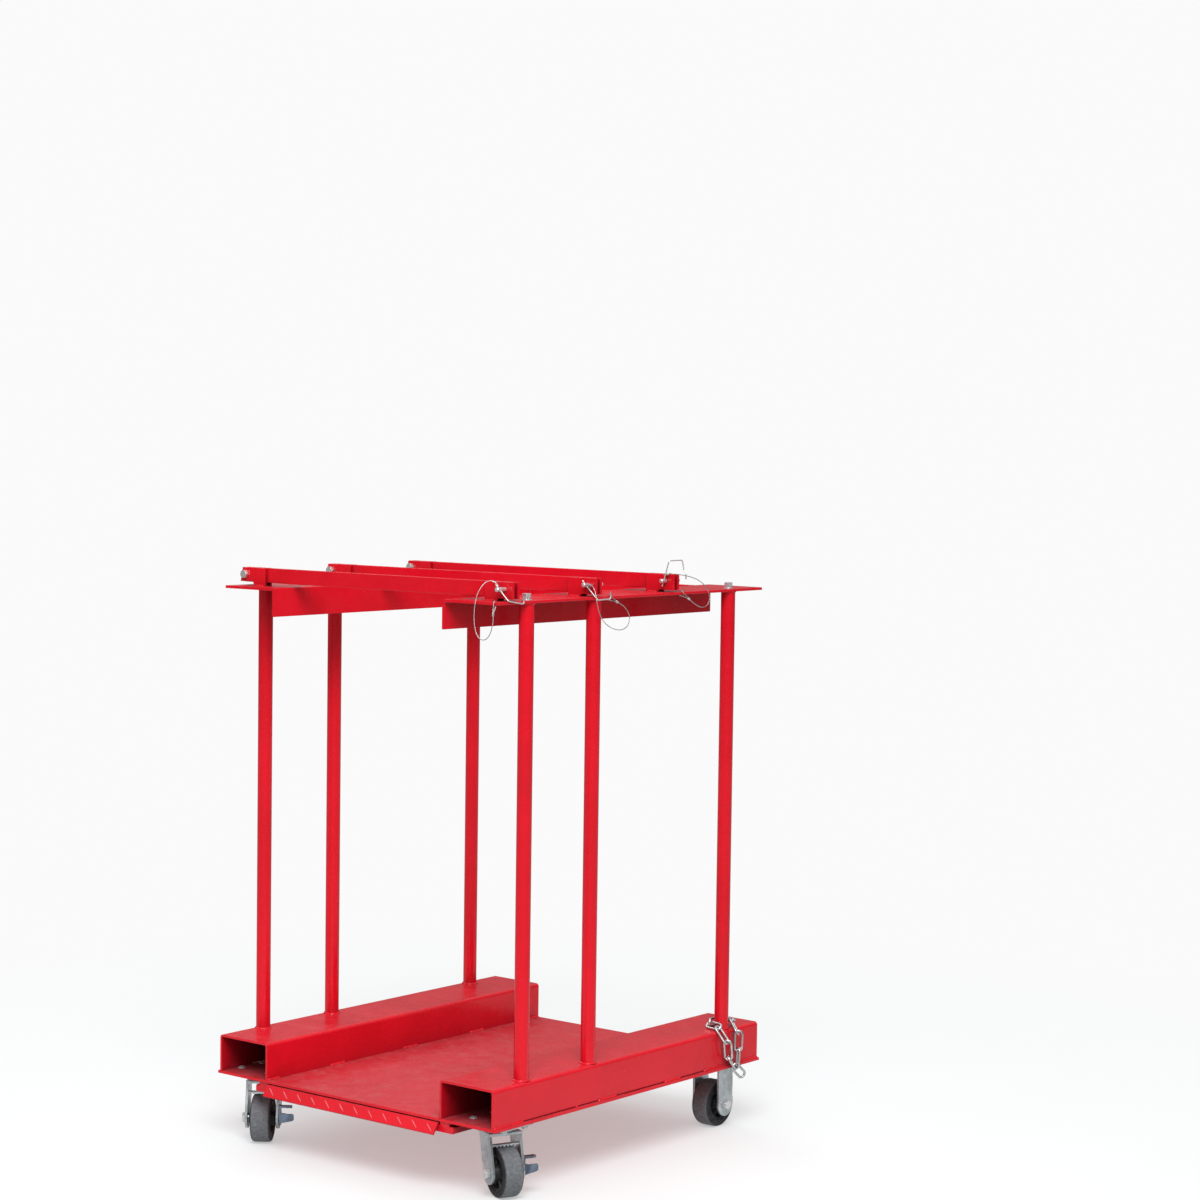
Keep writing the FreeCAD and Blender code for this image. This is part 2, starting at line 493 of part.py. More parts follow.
def tyre(y0):
    h = WHEEL_W / 2
    half = [(h, 37.0), (h, 46.0), (h - 0.8, 49.0), (18.6, 51.6), (16.0, WHEEL_R)]
    return revolve_x([(-a, r) for a, r in half] + [(a, r) for a, r in reversed(half)], y0)


def hub(y0):
    g = 8.56
    return revolve_x([(-20.0, 36.95), (-20.0, 31.5), (-7.0, 29.0), (-7.0, 17.5), (-29.0, 15.5), (-29.0, g), (29.0, g), (29.0, 15.5), (7.0, 17.5), (7.0, 29.0), (20.0, 31.5), (20.0, 36.95)], y0)


def brake_strip(y0):
    """Toothed strip across the top of the tyre, held between the fork legs."""
    s = box(-LEG_IN, LEG_IN, y0 - 7.0, y0 + 5.0, STRIP_Z, STRIP_Z + 2.5)
    for k in range(6):
        x = -22.0 + 8.0 * k
        s = s.fuse(box(x, x + 4.4, y0 - 7.0, y0 - 4.5, STRIP_Z - 2.8, STRIP_Z))
    return s.removeSplitter()


def pedal(y0):
    """Side brake: a plate that turns on the axle, a web across it and a foot tab."""
    a0, a1 = LEG_IN + LEG_T + 0.4, LEG_IN + LEG_T + 3.6
    w = Part.makePolygon([V(a0, y0 + p, WHEEL_R + q) for p, q in (
        (13.0, -6.0), (6.0, 14.0), (-1.0, 31.0), (-16.0, 31.0), (-16.0, -9.0), (-9.0, -14.5), (4.0, -14.5), (13.0, -6.0))])
    s = Part.Face(w).extrude(V(a1 - a0, 0, 0))
    w = Part.makePolygon([V(a0, y0 - 16.0, WHEEL_R + q) if p is None else V(p, y0 - 16.0, WHEEL_R + q) for p, q in (
        (None, -9.0), (None, 17.0), (a1 + 8.0, 13.0), (a1 + 27.0, 13.0), (a1 + 30.0, 10.0), (a1 + 30.0, -0.5), (a1 + 26.0, -3.0), (a1 + 7.0, -6.5), (None, -9.0))])
    web = Part.Face(w).extrude(V(0, 3.0, 0))
    tab = box(a0, a1 + 26.0, y0 - 16.0, y0 - 4.0, WHEEL_R + 26.0, WHEEL_R + 30.5)
    tab = rounded(tab, 4.0, lambda e: along(e, (0, 0, 1)) and e.CenterOfMass.x > a1 + 20)
    s = s.fuse(web).fuse(tab).removeSplitter()
    return s.cut(Part.makeCylinder(AXLE_R + 0.07, 30, V(a0 - 5, y0, WHEEL_R), V(1, 0, 0)))


for s in ("left", "right"):
    x, y, az = SWIVEL[s]
    save("swivel_fork_" + s, [swivel_fork(x, y, az)])
    b, n, sl = axle_parts(-TRAIL, True)
    save("front_axle_" + s, [at_caster(b, x, y, az), at_caster(n, x, y, az)])
    save("front_axle_sleeve_" + s, [at_caster(sl, x, y, az)])
    save("front_tyre_" + s, [at_caster(tyre(-TRAIL), x, y, az)])
    save("front_hub_" + s, [at_caster(hub(-TRAIL), x, y, az)])
    save("brake_pedal_" + s, [at_caster(pedal(-TRAIL), x, y, az)])
    save("brake_strip_" + s, [at_caster(brake_strip(-TRAIL), x, y, az)])

forks, axles = [], []
for s in ("left", "right"):
    x, y = RIGID[s]
    az = 0.0 if s == "left" else 180.0
    dx, dy, dz = CASTER_PLATE
    f = caster_plate(0, 0, None)
    pts = [(-26.0, DECK_Z0 - dz), (26.0, DECK_Z0 - dz), (26.0, WHEEL_R), (-26.0, WHEEL_R)]
    for x0, x1 in ((-LEG_IN - LEG_T, -LEG_IN), (LEG_IN, LEG_IN + LEG_T)):
        f = f.fuse(leg_plate(x0, x1, pts, 0.0, WHEEL_R, 26.0))
    f = f.removeSplitter().cut(Part.makeCylinder(AXLE_R + 0.04, 120, V(-60, 0, WHEEL_R), V(1, 0, 0)))
    forks.append(at_caster(f, x, y, az))
    b, n, sl = axle_parts(0.0, False)
    axles += [at_caster(b, x, y, az), at_caster(n, x, y, az), at_caster(sl, x, y, az)]
    save("rear_tyre_" + s, [at_caster(tyre(0.0), x, y, az)])
    save("rear_hub_" + s, [at_caster(hub(0.0), x, y, az)])
save("rigid_forks", forks)
save("rear_axles", axles)

# ------------------------------------------------------------------ safety chain
def chain_link():
    r = LINK_WIRE / 2
    bend = LINK_WIDE / 2 - r
    half = LINK_LEN / 2 - r - bend
    up = [V(-half, bend, 0), V(half, bend, 0)]
    edges = [Part.LineSegment(up[0], up[1]).toShape(),
             Part.Arc(up[1], V(half + bend, 0, 0), V(half, -bend, 0)).toShape(),
             Part.LineSegment(V(half, -bend, 0), V(-half, -bend, 0)).toShape(),
             Part.Arc(V(-half, -bend, 0), V(-half - bend, 0, 0), up[0]).toShape()]
    straight = [Part.makeCylinder(r, 2 * half, V(-half, y, 0), V(1, 0, 0)) for y in (bend, -bend)]
    ends = []
    for sx in (1, -1):
        face = Part.Face(Part.Wire([Part.makeCircle(r, V(sx * half, bend, 0), V(1, 0, 0))]))
        ends.append(face.revolve(V(sx * half, 0, 0), V(0, 0, -sx), 180))
    s = straight[0].fuse(straight[1:] + ends).removeSplitter()
    return s, sum(e.Length for e in edges), bend, half


links, quick = [], []
for i, (x, y, z, qw, qx, qy, qz) in enumerate(LINKS):
    s, ln, bend, half = chain_link()
    place = FreeCAD.Placement(V(x, y, z), FreeCAD.Rotation(qx, qy, qz, qw))
    if i == 0:
        print("chain link volume ratio %.4f" % (s.Volume / (math.pi * (LINK_WIRE / 2) ** 2 * ln)))
    s.Placement = place
    if i != QUICK_LINK:
        links.append(s)
        continue
    side = max((1, -1), key=lambda k: (V(POST_X, POST_Y[2], 0) - V(*place.multVec(V(0, k * bend, 0))[:2], 0)).Length)
    nut = hexa((-8.0, 0, 0), (1, 0, 0), 8.4, 16.0, True).cut(Part.makeCylinder(LINK_WIRE / 2 + 0.02, 20, V(-10, 0, 0), V(1, 0, 0)))
    nut.translate(V(0, side * bend, 0))
    nut.Placement = place.multiply(nut.Placement)
    quick = [s, nut]
save("chain_links", links)
save("chain_quick_link", quick)

# links may touch but not run into each other or into the cart
solids = links + quick
near = [("post", post(POST_X, POST_Y[2])), ("pocket", pocket(1)), ("deck", deck)]
worst = 0.0
for i, a in enumerate(solids):
    for nm, b in [("link %d" % j, solids[j]) for j in range(i + 1, len(solids))] + near:
        if a.BoundBox.intersect(b.BoundBox):
            v = a.common(b).Volume
            worst = max(worst, v)
            if v > 0.01:
                print("chain overlap", i, nm, round(v, 3))
print("chain worst overlap %.4f mm3" % worst)
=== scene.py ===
import json
import math
import random

import bmesh
import bpy
from mathutils import Matrix, Vector


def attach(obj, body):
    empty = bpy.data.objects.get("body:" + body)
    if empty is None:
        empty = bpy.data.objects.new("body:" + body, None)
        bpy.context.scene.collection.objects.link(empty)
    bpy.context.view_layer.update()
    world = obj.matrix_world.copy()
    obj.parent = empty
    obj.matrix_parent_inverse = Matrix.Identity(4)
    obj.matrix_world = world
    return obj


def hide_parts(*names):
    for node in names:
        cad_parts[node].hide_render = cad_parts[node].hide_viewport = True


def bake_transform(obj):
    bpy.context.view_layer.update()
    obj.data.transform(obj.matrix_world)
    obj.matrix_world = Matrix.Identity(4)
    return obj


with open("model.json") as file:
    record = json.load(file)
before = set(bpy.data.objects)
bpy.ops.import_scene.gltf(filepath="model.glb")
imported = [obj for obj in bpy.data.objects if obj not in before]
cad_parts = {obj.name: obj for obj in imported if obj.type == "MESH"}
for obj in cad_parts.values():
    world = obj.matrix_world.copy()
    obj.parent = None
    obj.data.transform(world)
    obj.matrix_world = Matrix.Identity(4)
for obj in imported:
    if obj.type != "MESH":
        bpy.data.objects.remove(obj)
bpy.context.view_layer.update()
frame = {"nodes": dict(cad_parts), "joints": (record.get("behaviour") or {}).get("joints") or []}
nodes = frame["nodes"]
scene = bpy.context.scene
rng = random.Random(41)

X = Vector((1, 0, 0))
Y = Vector((0, 1, 0))
Z = Vector((0, 0, 1))


def mm(*p):
    """A point given in millimetres, in metres."""
    return Vector(p) * 0.001


# ------------------------------------------------------------------ shader helpers


def material(name):
    mat = bpy.data.materials.new(name)
    mat.use_nodes = True
    tree = mat.node_tree
    tree.nodes.clear()
    out = tree.nodes.new("ShaderNodeOutputMaterial")
    bsdf = tree.nodes.new("ShaderNodeBsdfPrincipled")
    tree.links.new(bsdf.outputs["BSDF"], out.inputs["Surface"])
    return mat, tree, bsdf


def put(tree, socket, value):
    if isinstance(value, bpy.types.NodeSocket):
        tree.links.new(value, socket)
    else:
        socket.default_value = value


def where(tree, scale=(1, 1, 1), turn=(0, 0, 0)):
    """The piece's own coordinates, in metres, stretched and turned."""
    tex = tree.nodes.new("ShaderNodeTexCoord")
    if scale == (1, 1, 1) and turn == (0, 0, 0):
        return tex.outputs["Object"]
    m = tree.nodes.new("ShaderNodeMapping")
    m.inputs["Scale"].default_value = scale
    m.inputs["Rotation"].default_value = turn
    tree.links.new(tex.outputs["Object"], m.inputs["Vector"])
    return m.outputs["Vector"]


def noise(tree, vec, scale, detail=3.0, rough=0.55, bend=0.0):
    n = tree.nodes.new("ShaderNodeTexNoise")
    tree.links.new(vec, n.inputs["Vector"])
    n.inputs["Scale"].default_value = scale
    n.inputs["Detail"].default_value = detail
    n.inputs["Roughness"].default_value = rough
    n.inputs["Distortion"].default_value = bend
    return n.outputs["Fac"]


def cells(tree, vec, scale, feature="F1"):
    n = tree.nodes.new("ShaderNodeTexVoronoi")
    n.feature = feature
    tree.links.new(vec, n.inputs["Vector"])
    n.inputs["Scale"].default_value = scale
    return n.outputs["Distance"]


def remap(tree, value, a, b, c=0.0, d=1.0):
    n = tree.nodes.new("ShaderNodeMapRange")
    n.interpolation_type = "SMOOTHSTEP"
    put(tree, n.inputs["Value"], value)
    for key, v in (("From Min", a), ("From Max", b), ("To Min", c), ("To Max", d)):
        n.inputs[key].default_value = v
    return n.outputs["Result"]


def calc(tree, op, a, b=0.0):
    n = tree.nodes.new("ShaderNodeMath")
    n.operation = op
    n.use_clamp = op in ("MULTIPLY", "ADD", "SUBTRACT")
    put(tree, n.inputs[0], a)
    put(tree, n.inputs[1], b)
    return n.outputs[0]


def mix(tree, fac, a, b):
    n = tree.nodes.new("ShaderNodeMix")
    n.data_type = "RGBA"
    put(tree, n.inputs[0], fac)
    for i, v in ((6, a), (7, b)):
        put(tree, n.inputs[i], v if isinstance(v, bpy.types.NodeSocket) else (*v, 1.0))
    return n.outputs[2]


def bevel(tree, radius, samples=4):
    n = tree.nodes.new("ShaderNodeBevel")
    n.samples = samples
    n.inputs["Radius"].default_value = radius
    return n.outputs["Normal"]


def edges(tree, normal, a=0.015, b=0.22):
    """1 where the rounded normal leaves the face's own, which is along edges."""
    geo = tree.nodes.new("ShaderNodeNewGeometry")
    dot = tree.nodes.new("ShaderNodeVectorMath")
    dot.operation = "DOT_PRODUCT"
    tree.links.new(normal, dot.inputs[0])
    tree.links.new(geo.outputs["Normal"], dot.inputs[1])
    return remap(tree, dot.outputs["Value"], 1 - a, 1 - b)


def bump(tree, height, strength, distance, normal=None):
    n = tree.nodes.new("ShaderNodeBump")
    n.inputs["Strength"].default_value = strength
    n.inputs["Distance"].default_value = distance
    tree.links.new(height, n.inputs["Height"])
    if normal is not None:
        tree.links.new(normal, n.inputs["Normal"])
    return n.outputs["Normal"]


def attribute(tree, name):
    n = tree.nodes.new("ShaderNodeAttribute")
    n.attribute_name = name
    return n.outputs["Fac"]


def corners(tree, reach, samples=6):
    """1 deep in a corner or a hollow, 0 in the open."""
    n = tree.nodes.new("ShaderNodeAmbientOcclusion")
    n.samples = samples
    n.inputs["Distance"].default_value = reach
    return remap(tree, n.outputs["AO"], 0.74, 0.16)


def facing_up(tree):
    geo = tree.nodes.new("ShaderNodeNewGeometry")
    sep = tree.nodes.new("ShaderNodeSeparateXYZ")
    tree.links.new(geo.outputs["Normal"], sep.inputs[0])
    return remap(tree, sep.outputs["Z"], 0.6, 0.95)


# ------------------------------------------------------------------ materials

RED = (0.725, 0.0050, 0.0175)
RED_DEEP = (0.620, 0.0038, 0.0138)
RED_LIGHT = (0.800, 0.0220, 0.0410)
DUST = (0.50, 0.34, 0.33)


def powder_coat(name, gloss=(0.13, 0.25), dust=0.07, scuff=0.0, chips=0.12, crest=0.0):
    """Baked red powder coat: cloudy tone, orange peel, painted highlight along the edges, painted shade in corners and
    hollows, settled dust and, where worn, scuffs.
    """
    mat, t, b = material(name)
    at = where(t)
    tone = remap(t, noise(t, at, 4.5, 4.0, 0.6), 0.32, 0.68)
    color = mix(t, tone, RED_DEEP, RED)
    color = mix(t, remap(t, noise(t, at, 70, 5.0, 0.7), 0.50, 0.78, 0.0, 0.22), color, RED_LIGHT)
    color = mix(t, remap(t, noise(t, at, 900, 2.0, 0.5), 0.55, 0.75, 0.0, 0.16), color, (0.42, 0.004, 0.014))
    round_n = bevel(t, 0.0013)
    edge = edges(t, round_n)
    # painted highlight: lighter red along the edges
    color = mix(t, calc(t, "MULTIPLY", edge, 0.38), color, RED_LIGHT)
    rough = remap(t, noise(t, at, 16, 5.0, 0.6), 0.3, 0.7, gloss[0], gloss[1])
    # painted shade: darker colour in corners and deep inside the pockets, from ambient occlusion, and a rougher coat
    # there
    deep = corners(t, 0.16)
    color = mix(t, calc(t, "MULTIPLY", deep, 0.80), color, (0.075, 0.004, 0.008))
    rough = calc(t, "ADD", rough, calc(t, "MULTIPLY", deep, 0.25))
    # settled dust: specks on level faces
    up = facing_up(t)
    specks = remap(t, noise(t, at, 620, 2.0, 0.5), 0.58, 0.74)
    veil = remap(t, noise(t, at, 30, 7.0, 0.72), 0.44, 0.74)
    grime = calc(t, "MULTIPLY", calc(t, "MULTIPLY", up, dust), calc(t, "ADD", specks, veil))
    color = mix(t, grime, color, DUST)
    rough = calc(t, "ADD", rough, calc(t, "MULTIPLY", grime, 0.6))
    # chipped and rubbed edges
    worn = calc(t, "MULTIPLY", edge, remap(t, noise(t, at, 46, 6.0, 0.7), 0.60, 0.70))
    color = mix(t, calc(t, "MULTIPLY", worn, chips), color, (0.30, 0.16, 0.15))
    if crest:
        # tops of raised bars painted pale: a painted highlight along the crests, and rubbed paint
        top = calc(t, "MULTIPLY", attribute(t, "crest"), remap(t, noise(t, at, 120, 4.0, 0.65), 0.30, 0.60, 0.60, 1.0))
        color = mix(t, calc(t, "MULTIPLY", top, crest), color, (0.86, 0.40, 0.42))
        rough = calc(t, "ADD", rough, calc(t, "MULTIPLY", top, 0.15))
    height = noise(t, at, 520, 1.5, 0.5)
    peel = bump(t, height, 0.10, 0.0004, round_n)
    if scuff:
        long_a = noise(t, where(t, (14, 210, 60), (0, 0, 0.30)), 1.0, 5.0, 0.6, 0.3)
        long_b = noise(t, where(t, (190, 16, 60), (0, 0, -0.22)), 1.0, 5.0, 0.6, 0.3)
        scratches = calc(t, "MAXIMUM", remap(t, long_a, 0.635, 0.70), remap(t, long_b, 0.645, 0.71))
        rubbed = remap(t, noise(t, at, 26, 8.0, 0.76, 0.3), 0.34, 0.72)
        pits = remap(t, noise(t, at, 260, 4.0, 0.65), 0.56, 0.70)
        marks = calc(t, "MULTIPLY", calc(t, "ADD", calc(t, "MULTIPLY", scratches, 0.7), pits), rubbed)
        area = calc(t, "MULTIPLY", up, scuff)
        color = mix(t, calc(t, "MULTIPLY", area, 0.40), color, (0.400, 0.030, 0.042))
        color = mix(t, calc(t, "MULTIPLY", area, calc(t, "MULTIPLY", rubbed, 0.26)), color, (0.50, 0.085, 0.095))
        color = mix(t, calc(t, "MULTIPLY", area, calc(t, "MULTIPLY", marks, 0.5)), color, (0.56, 0.24, 0.245))
        grit = remap(t, noise(t, where(t, (1, 1, 1), (0, 0, 0.7)), 330, 5.0, 0.7), 0.50, 0.66)
        color = mix(t, calc(t, "MULTIPLY", area, calc(t, "MULTIPLY", grit, 0.55)), color, (0.16, 0.012, 0.018))
        rough = calc(t, "ADD", rough, calc(t, "MULTIPLY", area, remap(t, rubbed, 0.0, 1.0, 0.10, 0.34)))
        peel = bump(t, marks, 0.12, 0.0004, peel)
    put(t, b.inputs["Base Color"], color)
    put(t, b.inputs["Roughness"], rough)
    put(t, b.inputs["Normal"], peel)
    b.inputs["IOR"].default_value = 1.5
    b.inputs["Specular IOR Level"].default_value = 0.34
    return mat


def zinc(name, pale, grey, gloss, spots=0.3, edge_highlight=0.25, radius=0.0009, metal=1.0):
    """Plated or bright steel: cloudy plating, fine pitting, painted highlight along the edges, grime in patches."""
    mat, t, b = material(name)
    at = where(t)
    cloud = remap(t, noise(t, at, 26, 5.0, 0.62, 0.4), 0.32, 0.68)
    color = mix(t, cloud, grey, pale)
    fleck = remap(t, noise(t, at, 330, 3.0, 0.6), 0.58, 0.72)
    color = mix(t, calc(t, "MULTIPLY", fleck, spots), color, tuple(0.42 * c for c in grey))
    round_n = bevel(t, radius)
    edge = edges(t, round_n)
    # painted highlight: paler metal along the edges
    color = mix(t, calc(t, "MULTIPLY", edge, edge_highlight), color, (0.86, 0.87, 0.88))
    grime = remap(t, noise(t, at, 42, 6.0, 0.7), 0.56, 0.74)
    color = mix(t, calc(t, "MULTIPLY", grime, 0.35), color, tuple(0.45 * c for c in grey))
    rough = remap(t, noise(t, at, 70, 5.0, 0.65), 0.3, 0.72, gloss[0], gloss[1])
    rough = calc(t, "ADD", rough, calc(t, "MULTIPLY", grime, 0.22))
    put(t, b.inputs["Base Color"], color)
    put(t, b.inputs["Roughness"], rough)
    put(t, b.inputs["Normal"], bump(t, noise(t, at, 420, 3.0, 0.6), 0.10, 0.0003, round_n))
    b.inputs["Metallic"].default_value = metal
    return mat


def rubber(name):
    """Grey-black tyre: dusty, rubbed tread and darker walls with fine moulding lines."""
    mat, t, b = material(name)
    at = where(t)
    tread = attribute(t, "tread")
    wall = mix(t, remap(t, noise(t, at, 60, 5.0, 0.6), 0.35, 0.7), (0.008, 0.008, 0.010), (0.022, 0.022, 0.025))
    worn = mix(t, remap(t, noise(t, at, 170, 6.0, 0.7), 0.30, 0.72), (0.094, 0.100, 0.109), (0.176, 0.184, 0.197))
    color = mix(t, tread, wall, worn)
    dust = remap(t, noise(t, at, 480, 3.0, 0.6), 0.56, 0.74)
    color = mix(t, calc(t, "MULTIPLY", dust, calc(t, "ADD", calc(t, "MULTIPLY", tread, 0.22), 0.03)), color, (0.25, 0.25, 0.25))
    put(t, b.inputs["Base Color"], color)
    put(t, b.inputs["Roughness"], remap(t, noise(t, at, 90, 4.0, 0.6), 0.3, 0.7, 0.55, 0.82))
    put(t, b.inputs["Normal"], bump(t, noise(t, at, 700, 3.0, 0.6), 0.22, 0.0004))
    b.inputs["IOR"].default_value = 1.45
    return mat


def moulded(name, base, pale, gloss):
    """Moulded black wheel core: fine grain, edges paler."""
    mat, t, b = material(name)
    at = where(t)
    round_n = bevel(t, 0.0008)
    edge = edges(t, round_n)
    color = mix(t, remap(t, noise(t, at, 70, 5.0, 0.6), 0.35, 0.7), base, pale)
    color = mix(t, calc(t, "MULTIPLY", edge, 0.25), color, tuple(min(1.0, 3.0 * c) for c in pale))
    dust = remap(t, noise(t, at, 300, 4.0, 0.6), 0.57, 0.75)
    color = mix(t, calc(t, "MULTIPLY", dust, 0.10), color, (0.16, 0.16, 0.16))
    put(t, b.inputs["Base Color"], color)
    put(t, b.inputs["Roughness"], remap(t, noise(t, at, 60, 4.0, 0.6), 0.3, 0.7, *gloss))
    put(t, b.inputs["Normal"], bump(t, noise(t, at, 900, 2.0, 0.5), 0.14, 0.0003, round_n))
    b.inputs["IOR"].default_value = 1.48
    return mat


paint = powder_coat("red_powder_coat")
paint_worn = powder_coat("red_powder_coat_worn", gloss=(0.15, 0.28), dust=0.05, scuff=0.30, chips=0.3)
paint_deck = powder_coat("red_powder_coat_deck", gloss=(0.28, 0.42), dust=0.20, scuff=0.85, chips=0.5)
paint_ramp = powder_coat("red_powder_coat_ramp", gloss=(0.20, 0.36), dust=0.14, scuff=0.45, chips=0.55)
paint_bars = powder_coat("red_powder_coat_bars", gloss=(0.22, 0.38), dust=0.10, chips=0.55, crest=0.52)
plated = zinc("zinc_plating", (0.62, 0.66, 0.68), (0.36, 0.395, 0.41), (0.24, 0.42), 0.22, 0.90, 0.0014, 0.86)
bright = zinc("bright_zinc", (0.80, 0.80, 0.79), (0.62, 0.63, 0.64), (0.24, 0.40), 0.14, 0.5, 0.0008, 0.72)
blued = zinc("blue_zinc", (0.235, 0.30, 0.40), (0.095, 0.12, 0.165), (0.26, 0.46), 0.3, 0.75, 0.0011)
chain_zinc = zinc("chain_zinc", (0.74, 0.74, 0.73), (0.50, 0.51, 0.52), (0.20, 0.38), 0.25)
rope_steel = zinc("rope_steel", (0.62, 0.62, 0.60), (0.40, 0.40, 0.40), (0.30, 0.48), 0.15, 0.0, 0.0002)
crimp = zinc("crimp_aluminium", (0.72, 0.72, 0.71), (0.52, 0.52, 0.52), (0.28, 0.44), 0.2)
tyre = rubber("tyre_rubber")
hub = moulded("hub_black", (0.007, 0.007, 0.008), (0.018, 0.018, 0.021), (0.46, 0.66))

PAINT_NODES = (
    "left_fork_pocket right_fork_pocket left_posts right_posts left_top_shelf right_top_shelf rear_cross_bar "
    "pivot_ears latch_ears retaining_bar_front retaining_bar_middle retaining_bar_rear ramp_guides post_top_plugs"
).split()
PLATED_NODES = (
    "caster_nuts swivel_plates swivel_races kingpins swivel_fork_left swivel_fork_right rigid_forks "
    "front_axle_sleeve_left front_axle_sleeve_right brake_strip_left brake_strip_right"
).split()
BRIGHT_NODES = (
    "shelf_bolts shelf_washers pivot_bolts pivot_nuts lock_pin_1 lock_pin_2 lock_pin_3 "
    "front_axle_left front_axle_right rear_axles caster_bolts pin_bail_1 pin_bail_2 pin_bail_3"
).split()
FINISH = {n: paint for n in PAINT_NODES}
FINISH.update({n: plated for n in PLATED_NODES})
FINISH.update({n: bright for n in BRIGHT_NODES})
FINISH.update({"deck_plate": paint_deck, "ramp_plate": paint_ramp})
FINISH.update({f"{side}_{piece}": paint_worn for side in ("left", "right") for piece in ("fork_pocket", "top_shelf")})
FINISH.update({"brake_pedal_left": blued, "brake_pedal_right": blued})
FINISH.update({"chain_links": chain_zinc, "chain_quick_link": chain_zinc})
FINISH.update({f"lanyard_{i}": rope_steel for i in (1, 2, 3)})
FINISH.update({f"lanyard_pin_eye_{i}": rope_steel for i in (1, 2, 3)})
FINISH["lanyard_shelf_eyes"] = rope_steel
for side in ("left", "right"):
    for end in ("front", "rear"):
        FINISH[f"{end}_tyre_{side}"] = tyre
        FINISH[f"{end}_hub_{side}"] = hub
for name, node in nodes.items():
    node.data.materials.clear()
    node.data.materials.append(FINISH[name])


# ------------------------------------------------------------------ mesh helpers


def finish_mesh(name, verts, faces, mat, angle=38.0):
    """A mesh object with outward normals, smooth except across edges sharper than angle."""
    me = bpy.data.meshes.new(name)
    me.from_pydata([tuple(v) for v in verts], [], faces)
    me.materials.append(mat)
    bm = bmesh.new()
    bm.from_mesh(me)
    bmesh.ops.recalc_face_normals(bm, faces=bm.faces)
    for f in bm.faces:
        f.smooth = True
    limit = math.radians(angle)
    for e in bm.edges:
        if len(e.link_faces) == 2 and e.calc_face_angle(0.0) > limit:
            e.smooth = False
    bm.to_mesh(me)
    bm.free()
    ob = bpy.data.objects.new(name, me)
    scene.collection.objects.link(ob)
    return ob


class Mesh:
    """Collects vertices and faces of one piece."""

    def __init__(self):
        self.verts = []
        self.faces = []

    def add(self, verts, faces):
        n = len(self.verts)
        self.verts.extend(verts)
        self.faces.extend([tuple(i + n for i in f) for f in faces])

    def tube(self, rings, closed=False):
        """Skin a row of equal rings of points, with flat ends unless it closes on itself."""
        k = len(rings[0])
        m = len(rings)
        faces = []
        for i in range(m if closed else m - 1):
            a, b = i * k, (i + 1) % m * k
            for j in range(k):
                j2 = (j + 1) % k
                faces.append((a + j, a + j2, b + j2, b + j))
        if not closed:
            faces.append(tuple(range(k))[::-1])
            faces.append(tuple(range((m - 1) * k, m * k)))
        self.add([p for r in rings for p in r], faces)

    def lathe(self, profile, centre, axis, steps=96):
        """Turn a closed outline of (along, radius) pairs about an axis."""
        axis = Vector(axis).normalized()
        u = axis.orthogonal().normalized()
        v = axis.cross(u)
        rings = []
        for s in range(steps):
            w = 2 * math.pi * s / steps
            d = u * math.cos(w) + v * math.sin(w)
            rings.append([centre + axis * (a * 0.001) + d * (r * 0.001) for a, r in profile])
        self.tube(rings, closed=True)

    def make(self, name, mat, body, angle=38.0, values=None):
        ob = finish_mesh(name, self.verts, self.faces, mat, angle)
        for key, numbers in (values or {}).items():
            layer = ob.data.attributes.new(key, "FLOAT", "POINT")
            layer.data.foreach_set("value", numbers)
        if body:
            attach(ob, body)
        return ob


def sweep_frames(points):
    """A frame that doesn't twist along a row of points: (point, tangent, side, up)."""
    out = []
    n = len(points)
    side = None
    for i in range(n):
        t = (points[min(i + 1, n - 1)] - points[max(i - 1, 0)]).normalized()
        if side is None:
            side = t.orthogonal().normalized()
        side = (side - t * side.dot(t)).normalized()
        out.append((points[i], t, side, t.cross(side)))
    return out


def even(points, step):
    """The same line with points a step apart."""
    far = [0.0]
    for a, b in zip(points, points[1:]):
        far.append(far[-1] + (b - a).length)
    n = max(2, round(far[-1] / step))
    out, i = [], 0
    for k in range(n + 1):
        s = far[-1] * k / n
        while i < len(far) - 2 and far[i + 1] < s:
            i += 1
        f = (s - far[i]) / max(1e-12, far[i + 1] - far[i])
        out.append(points[i].lerp(points[i + 1], f))
    return out, far[-1]


# ------------------------------------------------------------------ weld beads


def wobble(seed):
    r = random.Random(seed)
    waves = [(r.uniform(60, 420), r.uniform(0, 6.28), r.uniform(0.3, 1.0)) for _ in range(5)]
    total = sum(w[2] for w in waves)
    return lambda s: sum(a * math.sin(k * s + p) for k, p, a in waves) / total


